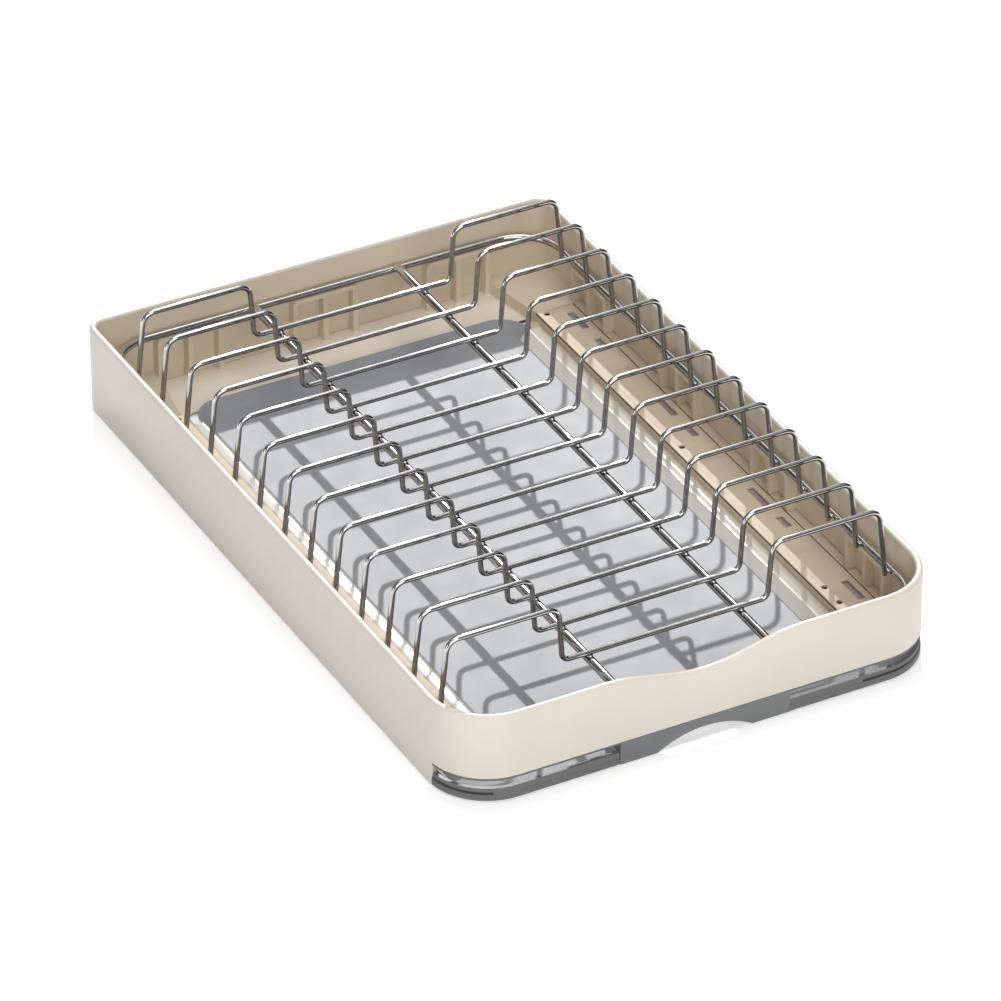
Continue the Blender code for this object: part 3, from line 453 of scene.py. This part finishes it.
# Dark brown for strips of painted shade: the line along each rail's strip and the ledge slots.
shade_line_brown = moulded("rail_shade_line", (0.045, 0.030, 0.020), (0.060, 0.040, 0.028), rough=0.5, coat=0.0)
tray_grey = smoke("smoke_plastic_floor", (0.33, 0.34, 0.37), (0.36, 0.37, 0.40),
                  alpha=0.90, rough=0.42, coat=0.0)
flange_clear = smoke("smoke_plastic_flange", (0.78, 0.74, 0.67), (0.84, 0.80, 0.73),
                     alpha=0.45, rough=0.12, coat=0.0)
pane_clear = smoke("smoke_plastic_pane", (0.16, 0.165, 0.17), (0.19, 0.195, 0.20),
                   alpha=0.10, rough=0.04, coat=0.0)
lip_grey = smoke("smoke_plastic_lip", (0.165, 0.165, 0.165), (0.190, 0.190, 0.190),
                 alpha=0.96, rough=0.36, coat=0.0, shine=0.3)
smoke_dark = smoke("dark_smoke_plastic", (0.150, 0.158, 0.162), (0.170, 0.176, 0.180),
                   alpha=0.97, rough=0.14, coat=0.35)
# Near-black for painted shade: the shadow of the slit along each wing's corner.
slit_shade_black = moulded("slit_painted_shade", (0.012, 0.012, 0.012), (0.020, 0.020, 0.020), rough=0.45, coat=0.0)
# The plated wires get painted shade on their undersides.
chrome = plated("plated_wire", (0.56, 0.555, 0.55), (0.72, 0.715, 0.71), rough=0.05,
                underside_shade=(0.13, 0.12, 0.115))
zinc = plated("zinc_sheet", (0.56, 0.54, 0.62), (0.68, 0.66, 0.74), rough=0.42, scale=60)
dark_steel = plated("screw_plating", (0.018, 0.014, 0.012), (0.030, 0.025, 0.022), rough=0.60, scale=300)


# Wire rack

def divider_path():
    """The bent path of one divider in its own plane."""
    foot = RING_X - RING_R - FIT - WIRE_R
    half = [(foot - HUMP_LEAN, 0, HIGH_Z), (HUMP_INNER_X, 0, HIGH_Z), (HUMP_FOOT_X, 0, LOW_Z)]
    corners = [(-foot, 0, RING_Z - RING_R)] + [(-x, y, z) for x, y, z in half]
    corners += half[::-1] + [(foot, 0, RING_Z - RING_R)]
    bends = [HUMP_BEND, HUMP_BEND, FOOT_BEND]
    return rounded(corners, bends + bends[::-1], 9)


def make_rack():
    """Ring, rods, dividers and the welds between them."""
    shape = bmesh.new()
    sweep(shape, divider_path(), WIRE_R)
    for side in (-1, 1):
        foot = side * (RING_X - RING_R - FIT / 2)
        bead(shape, (foot - side * 0.0002, 0, RING_Z), (0.0009, 0.0017, 0.0015))
    shared = mesh("divider_wire", shape, 60)
    for index in range(COUNT):
        place = PITCH * ((COUNT - 1) / 2 - index)
        data = shared.copy()
        data.transform(Matrix.Translation((0, place, 0)))
        made = link(f"divider_wire_{index + 1:02d}", data, "rack", chrome)
        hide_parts(f"divider_{index + 1:02d}")

    inner_x, inner_y = RING_X - RING_BEND, RING_Y - RING_BEND
    outline = arc((inner_x, -inner_y), RING_BEND, -90, 0, 18)
    outline += arc((inner_x, inner_y), RING_BEND, 0, 90, 18)
    outline += arc((-inner_x, inner_y), RING_BEND, 90, 180, 18)
    outline += arc((-inner_x, -inner_y), RING_BEND, 180, 270, 18)
    shape = bmesh.new()
    sweep(shape, [Vector((x, y, RING_Z)) for x, y in outline], RING_R, 18, closed=True)
    ring = link("ring_wire", mesh("ring_wire", shape, 60), "rack", chrome)
    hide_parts("rack_ring_front", "rack_ring_rear", "rack_ring_left", "rack_ring_right")

    end = RING_Y - RING_R - FIT
    for side, label in ((-1, "left"), (1, "right")):
        x = side * ROD_X
        shape = bmesh.new()
        steps = 24
        points = [Vector((x, -end + 2 * end * step / steps, ROD_Z)) for step in range(steps + 1)]
        sweep(shape, points, ROD_R, 20)
        rod = link("rod_wire_" + label, mesh("rod_wire", shape, 60), "rack", chrome)
        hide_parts("rack_rod_" + label)
        shape = bmesh.new()
        for index in range(COUNT):
            y = PITCH * ((COUNT - 1) / 2 - index)
            bead(shape, (x, y, ROD_Z + ROD_R - 0.0001), (0.0019, 0.0022, 0.0010))
        for way in (-1, 1):
            bead(shape, (x, way * (end + FIT / 2), ROD_Z - 0.0011), (0.0021, 0.0012, 0.0016))
        link("rod_welds_" + label, mesh("rod_welds", shape, 60), "rack", chrome)


# Drip tray

def front_plan(inset, back, half):
    """Plan outline of the tray's wide front part, with the frame's corners."""
    curve = arc(CORNER, CORNER_R - inset, -90, 0, 24)
    kept = [(x, y) for x, y in curve if x < half and y < back]
    outline = kept + [(half, kept[-1][1]), (half, back), (-half, back), (-half, kept[-1][1])]
    return outline + [(-x, y) for x, y in reversed(kept)]


def basin_rings(out, low, high, front):
    """Two plan outlines of the sloping basin, spread out from its inner face."""
    rings = []
    for level in (low, high):
        grow = out - TRAY_LEAN * (TRAY_RIM - level) / (TRAY_RIM - TRAY_FLOOR)
        half = TRAY_HALF + grow
        rear = TRAY_REAR + grow
        radius = 0.011 + TRAY_LEAN + grow
        outline = [(-half, front), (half, front)]
        outline += arc((half - radius, rear - radius), radius, 0, 90, 16)
        outline += arc((radius - half, rear - radius), radius, 90, 180, 16)
        rings.append([(x, y, level) for x, y in outline])
    return rings


def basin_solids():
    """The basin's outer body and its hollow, both reaching past the front."""
    body = bmesh.new()
    loft(body, *basin_rings(SKIN, TRAY_BOTTOM, TRAY_RIM, TRAY_BACK - SKIN - OVER))
    hollow = bmesh.new()
    loft(hollow, *basin_rings(0, TRAY_FLOOR, TRAY_RIM + OVER, TRAY_BACK - SKIN - 2 * OVER))
    return body, hollow


def stations(inset, start, first_angle):
    """Plan points at one inset along a wing, from a straight start round the corner."""
    radius = CORNER_R - inset
    points = [(start, FRONT_Y + inset)] if start else []
    angle = first_angle
    while angle < -9:
        turn = radians(angle)
        points.append((CORNER[0] + radius * cos(turn), CORNER[1] + radius * sin(turn)))
        angle += 4.5
    along = CORNER[1] - WING_BACK_Y
    points.append((CORNER[0] + (radius ** 2 - along ** 2) ** 0.5, WING_BACK_Y))
    return points


def wing(profile, side, start=0.0, first_angle=-90.0):
    """A profile of insets and heights swept along one wing of the tray's front."""
    shape = bmesh.new()
    tracks = [stations(inset, start, first_angle) for inset, level in profile]
    loops = []
    for index in range(len(tracks[0])):
        loop = []
        for track, (inset, level) in zip(tracks, profile):
            loop.append(shape.verts.new((side * track[index][0], track[index][1], level)))
        loops.append(loop)
    shape.faces.new(loops[0])
    shape.faces.new(reversed(loops[-1]))
    count = len(profile)
    for near, far in zip(loops, loops[1:]):
        for step in range(count):
            after = (step + 1) % count
            shape.faces.new((near[step], near[after], far[after], far[step]))
    return shape


def make_tray():
    """Basin, clear flanges, curved wings with their lip, pane and a dark top band of painted shade, and
    a dark strip of painted shade for a slit.
    """
    half = BLOCK_X + FIT
    inside_front = FRONT_Y + BLOCK_DEPTH + FIT
    base, hollow = basin_solids()
    changes = [("UNION", prism(front_plan(LIP_BACK, TRAY_BACK, FRONT_HALF), TRAY_BOTTOM, TRAY_RIM))]
    changes.append(("DIFFERENCE", hollow))
    well = front_plan(WELL_INSET, TRAY_BACK - SKIN, WELL_HALF)
    changes.append(("DIFFERENCE", prism(well, TRAY_FLOOR, TRAY_RIM + OVER)))
    changes.append(("DIFFERENCE", box((-half, FRONT_Y - OVER, -OVER), (half, inside_front, 0.01))))
    back = inside_front + SKIN
    low = (-half - SKIN, inside_front, TRAY_BOTTOM)
    changes.append(("UNION", box(low, (half + SKIN, back, TRAY_RIM))))
    for side in (-1, 1):
        edges = sorted((side * half, side * (half + SKIN)))
        low = (edges[0], FRONT_Y + LIP_BACK, TRAY_BOTTOM)
        changes.append(("UNION", box(low, (edges[1], back - SKIN / 2, TRAY_RIM))))
    for side in (-1, 1):
        changes.append(("DIFFERENCE", side_zone(side, 0)))
    data = worked("tray_basin", base, changes, 0.0003)
    basin = link("tray_basin", data, "tray", tray_grey)
    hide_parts("drip_tray")

    lip = [(0.0, 0.0011), (0.0002, 0.0008), (0.0006, 0.0006), (0.0027, 0.0006), (0.0030, 0.0009)]
    lip += [(0.0030, 0.0080), (0.0028, 0.0082), (0.0007, 0.0082), (0.0005, 0.0080)]
    lip += [(0.0005, 0.0046), (0.0, 0.0041)]
    pane = [(0.0007, 0.0083), (0.0025, 0.0083), (0.0025, 0.0132), (0.0007, 0.0132)]
    # Painted shade: a dark grey band along the pane's top stands in for shade seen through it.
    top_shade_band = [(0.0003, 0.0133), (0.0029, 0.0133), (0.0029, 0.0142), (0.0026, 0.0145)]
    top_shade_band += [(0.0006, 0.0145), (0.0003, 0.0142)]
    # Painted shade: a dark strip along the wing's corner stands in for the shadow of a slit.
    slit_shade = [(0.0002, 0.0047), (0.0012, 0.0047), (0.0012, 0.0058), (0.0002, 0.0058)]
    starts = {"left": (0.0, -67.5), "right": (0.0957, -90.0)}
    rims = (("lip", lip, lip_grey), ("pane", pane, pane_clear), ("bead", top_shade_band, lip_grey))
    for side, label in ((-1, "left"), (1, "right")):
        edges = sorted((side * (TRAY_HALF + SKIN / 2), side * (TRAY_HALF + FLANGE_WIDTH)))
        low = (edges[0], TRAY_BACK - SKIN / 2, TRAY_RIM - SKIN)
        flange = box(low, (edges[1], FLANGE_REAR, TRAY_RIM))
        wall, hollow = basin_solids()
        changes = [("DIFFERENCE", hollow), ("INTERSECT", side_zone(side, 0.0001)), ("UNION", flange)]
        data = worked("tray_side", wall, changes, 0.0002)
        link("tray_side_" + label, data, "tray", flange_clear)
        for part, profile, finish in rims:
            data = mesh("tray_" + part, wing(profile, side, half))
            link(f"tray_{part}_{label}", data, "tray", finish)
        shape = wing(slit_shade, side, *starts[label])
        link("tray_slit_shade_" + label, mesh("tray_slit_shade", shape), "tray", slit_shade_black)


def side_zone(side, inset):
    """The room of one long sloping side wall, drawn in a little if wanted."""
    edges = sorted((side * (TRAY_HALF - TRAY_LEAN + 0.0003 + inset), side * (TRAY_HALF + 0.0040)))
    return box((edges[0], TRAY_BACK + inset, -OVER), (edges[1], SIDE_REAR - inset, TRAY_RIM + 0.0005))


def make_trim():
    """A dark line of painted shade along each rail's strip, the bead of the rear ledge, and flat dark
    sheets of painted shade for its slots.
    """
    half, front, rear = LEDGE_BEAD
    shape = box((-half, front, LEDGE_TOP), (half, rear, LEDGE_TOP + 0.0010))
    data = worked("ledge_bead", shape, [], 0.0005)
    link("ledge_bead", data, "drawer", cream)
    near, far, depth = LEDGE_SLOT_SHADE
    ends = arc((far, depth), LEDGE_SLOT_SHADE_R, -90, 90, 8) + arc((near, depth), LEDGE_SLOT_SHADE_R, 90, 270, 8)
    for side, label in ((-1, "left"), (1, "right")):
        # Painted shade: a thin dark strip along the inner edge of each rail's strip.
        edges = sorted((side * (STRIP_X - 0.0003), side * STRIP_X))
        low = (edges[0], RAIL_SHADE_LINE_Y[0], RAIL_SHADE_LINE_Z[0])
        shape = box(low, (edges[1], RAIL_SHADE_LINE_Y[1], RAIL_SHADE_LINE_Z[1]))
        link("rail_shade_line_" + label, mesh("rail_shade_line", shape), "drawer", shade_line_brown)
        # Painted shade: a flat dark sheet on the ledge stands in for a slot's shaded hollow.
        shape = prism([(side * x, y) for x, y in ends], LEDGE_TOP - 0.00005, LEDGE_TOP + 0.0001)
        link("ledge_slot_shade_" + label, mesh("ledge_slot_shade", shape), "drawer", shade_line_brown)


# Smoothing and fine edge rounds on the CAD pieces

def smoothing_group():
    """Geometry nodes that weld a mesh and smooth it up to an angle."""
    group = bpy.data.node_groups.new("weld_and_smooth", "GeometryNodeTree")
    group.interface.new_socket("Geometry", in_out="INPUT", socket_type="NodeSocketGeometry")
    group.interface.new_socket("Geometry", in_out="OUTPUT", socket_type="NodeSocketGeometry")
    start = group.nodes.new("NodeGroupInput")
    end = group.nodes.new("NodeGroupOutput")
    plain = group.nodes.new("GeometryNodeRemoveAttribute")
    plain.inputs["Name"].default_value = "custom_normal"
    weld = group.nodes.new("GeometryNodeMergeByDistance")
    weld.inputs["Distance"].default_value = 0.00001
    faces = group.nodes.new("GeometryNodeSetShadeSmooth")
    edges = group.nodes.new("GeometryNodeSetShadeSmooth")
    edges.domain = "EDGE"
    angle = group.nodes.new("GeometryNodeInputMeshEdgeAngle")
    flat = group.nodes.new("FunctionNodeCompare")
    flat.operation = "LESS_THAN"
    flat.inputs["B"].default_value = radians(32)
    link_to = group.links.new
    link_to(start.outputs["Geometry"], plain.inputs["Geometry"])
    link_to(plain.outputs["Geometry"], weld.inputs["Geometry"])
    link_to(weld.outputs["Geometry"], faces.inputs["Geometry"])
    link_to(faces.outputs["Geometry"], edges.inputs["Geometry"])
    link_to(angle.outputs["Unsigned Angle"], flat.inputs["A"])
    link_to(flat.outputs["Result"], edges.inputs["Shade Smooth"])
    link_to(edges.outputs["Geometry"], end.inputs["Geometry"])
    return group


def finish_node(name, finish, group, width=0.0):
    """Give a CAD node its finish, smooth faces and, if wanted, fine edge rounds."""
    piece = nodes[name]
    for slot in piece.material_slots:
        slot.material = finish
    piece.modifiers.new("weld", "NODES").node_group = group
    if width:
        rounds = piece.modifiers.new("edge_rounds", "BEVEL")
        rounds.width = width
        rounds.segments = 2
        rounds.limit_method = "ANGLE"
        rounds.angle_limit = radians(40)
        piece.modifiers.new("smooth", "NODES").node_group = group


make_rack()
make_tray()
make_trim()
smoother = smoothing_group()
finish_node("frame_shell", cream, smoother, 0.0004)
finish_node("tray_pull_block", smoke_dark, smoother, 0.0003)
for label in ("left", "right"):
    # Painted shade: the rail housings take the tan, shaded copy of the cream plastic.
    finish_node("rail_housing_" + label, cream_shaded, smoother, 0.00025)
    finish_node("slide_cabinet_member_" + label, zinc, smoother)
    finish_node("slide_drawer_member_" + label, zinc, smoother)
    finish_node("ball_cage_" + label, zinc, smoother)
    for number in (1, 2, 3, 4):
        finish_node(f"rail_screw_{label}_{number}", dark_steel, smoother)
    for row in ("inner", "outer"):
        for number in (1, 2, 3):
            finish_node(f"slide_ball_{label}_{row}_{number}", chrome, smoother)


# Studio: pale floor, surround, lamps and camera

def make_floor():
    """A plain pale floor that reads white to the camera and keeps shadows."""
    shape = bmesh.new()
    bmesh.ops.create_grid(shape, x_segments=1, y_segments=1, size=8)
    made = bpy.data.objects.new("studio_floor", mesh("studio_floor", shape))
    made.location = (0, 0, -0.0002)
    bpy.context.scene.collection.objects.link(made)
    finish = bpy.data.materials.new("studio_floor")
    finish.use_nodes = True
    tree = finish.node_tree
    tree.nodes.clear()
    output = tree.nodes.new("ShaderNodeOutputMaterial")
    matte = tree.nodes.new("ShaderNodeBsdfDiffuse")
    matte.inputs["Color"].default_value = FLOOR_TONE
    glow = tree.nodes.new("ShaderNodeEmission")
    path = tree.nodes.new("ShaderNodeLightPath")
    first = tree.nodes.new("ShaderNodeMath")
    second = tree.nodes.new("ShaderNodeMath")
    share = tree.nodes.new("ShaderNodeMath")
    first.operation = second.operation = "ADD"
    second.use_clamp = True
    share.operation = "MULTIPLY"
    share.inputs[1].default_value = FLOOR_GLOW
    tree.links.new(path.outputs["Is Camera Ray"], first.inputs[0])
    tree.links.new(path.outputs["Is Glossy Ray"], first.inputs[1])
    tree.links.new(first.outputs[0], second.inputs[0])
    tree.links.new(path.outputs["Is Transmission Ray"], second.inputs[1])
    tree.links.new(second.outputs[0], share.inputs[0])
    tree.links.new(share.outputs[0], glow.inputs["Strength"])
    both = tree.nodes.new("ShaderNodeAddShader")
    tree.links.new(matte.outputs[0], both.inputs[0])
    tree.links.new(glow.outputs[0], both.inputs[1])
    tree.links.new(both.outputs[0], output.inputs["Surface"])
    made.data.materials.append(finish)


def aim(made, towards):
    """Turn a lamp so that it shines at a point."""
    way = Vector(towards) - made.location
    made.rotation_mode = "QUATERNION"
    made.rotation_quaternion = way.to_track_quat("-Z", "Y")


def area(name, place, towards, width, height, watts):
    """A rectangular soft lamp."""
    data = bpy.data.lights.new(name, "AREA")
    data.shape = "RECTANGLE"
    data.size = width
    data.size_y = height
    data.energy = watts
    made = bpy.data.objects.new(name, data)
    made.location = place
    bpy.context.scene.collection.objects.link(made)
    aim(made, towards)


def make_studio():
    """Key from the rear right, soft fills on all sides, and a surround that brightens upwards."""
    make_floor()
    world = bpy.context.scene.world or bpy.data.worlds.new("studio")
    bpy.context.scene.world = world
    world.use_nodes = True
    tree = world.node_tree
    back = tree.nodes["Background"]
    parts = tree.nodes.new("ShaderNodeSeparateXYZ")
    tree.links.new(tree.nodes.new("ShaderNodeTexCoord").outputs["Generated"], parts.inputs[0])
    sky = ramp(tree, parts.outputs[2], SKY_LOW, SKY_HIGH, 0.40, 0.80)
    tree.links.new(sky, back.inputs["Color"])
    back.inputs["Strength"].default_value = 1.0
    key = bpy.data.lights.new("key", "SUN")
    key.energy = KEY_STRENGTH
    key.angle = radians(1.0)
    made = bpy.data.objects.new("key", key)
    made.location = Vector(KEY_PLACE) * 2
    bpy.context.scene.collection.objects.link(made)
    aim(made, (0, 0, 0))
    area("front_fill", (-0.5, -2.6, 1.3), (0, 0, 0.03), 2.4, 1.2, 44)
    area("top_fill", (0.1, 0.2, 2.4), (0, 0, 0), 1.6, 1.6, 18)
    area("rear_fill", (1.0, 2.07, 1.65), (0, 0, 0), 1.1, 1.1, 7)
    area("left_fill", (-2.6, -0.6, 0.7), (0, 0, 0.03), 1.2, 1.2, 9)
    bpy.context.scene.view_settings.view_transform = "Standard"


def make_camera():
    """The photograph's camera, from a fit to the object's edges."""
    data = bpy.data.cameras.new("camera")
    data.sensor_width = SENSOR
    data.lens = FOCAL / PHOTO_WIDTH * SENSOR
    data.shift_x = SHIFT[0] / PHOTO_WIDTH
    data.shift_y = SHIFT[1] / PHOTO_WIDTH
    data.clip_start = 0.1
    data.clip_end = 50
    made = bpy.data.objects.new("camera", data)
    bpy.context.scene.collection.objects.link(made)
    bpy.context.scene.camera = made
    azimuth, elevation, roll = radians(AZIMUTH), radians(ELEVATION), radians(ROLL)
    back = Vector((sin(azimuth) * cos(elevation), -cos(azimuth) * cos(elevation), sin(elevation)))
    made.location = Vector(AIM) + back * DISTANCE
    made.rotation_mode = "QUATERNION"
    made.rotation_quaternion = (-back).to_track_quat("-Z", "Y") @ Quaternion((0, 0, 1), roll)


make_studio()
make_camera()
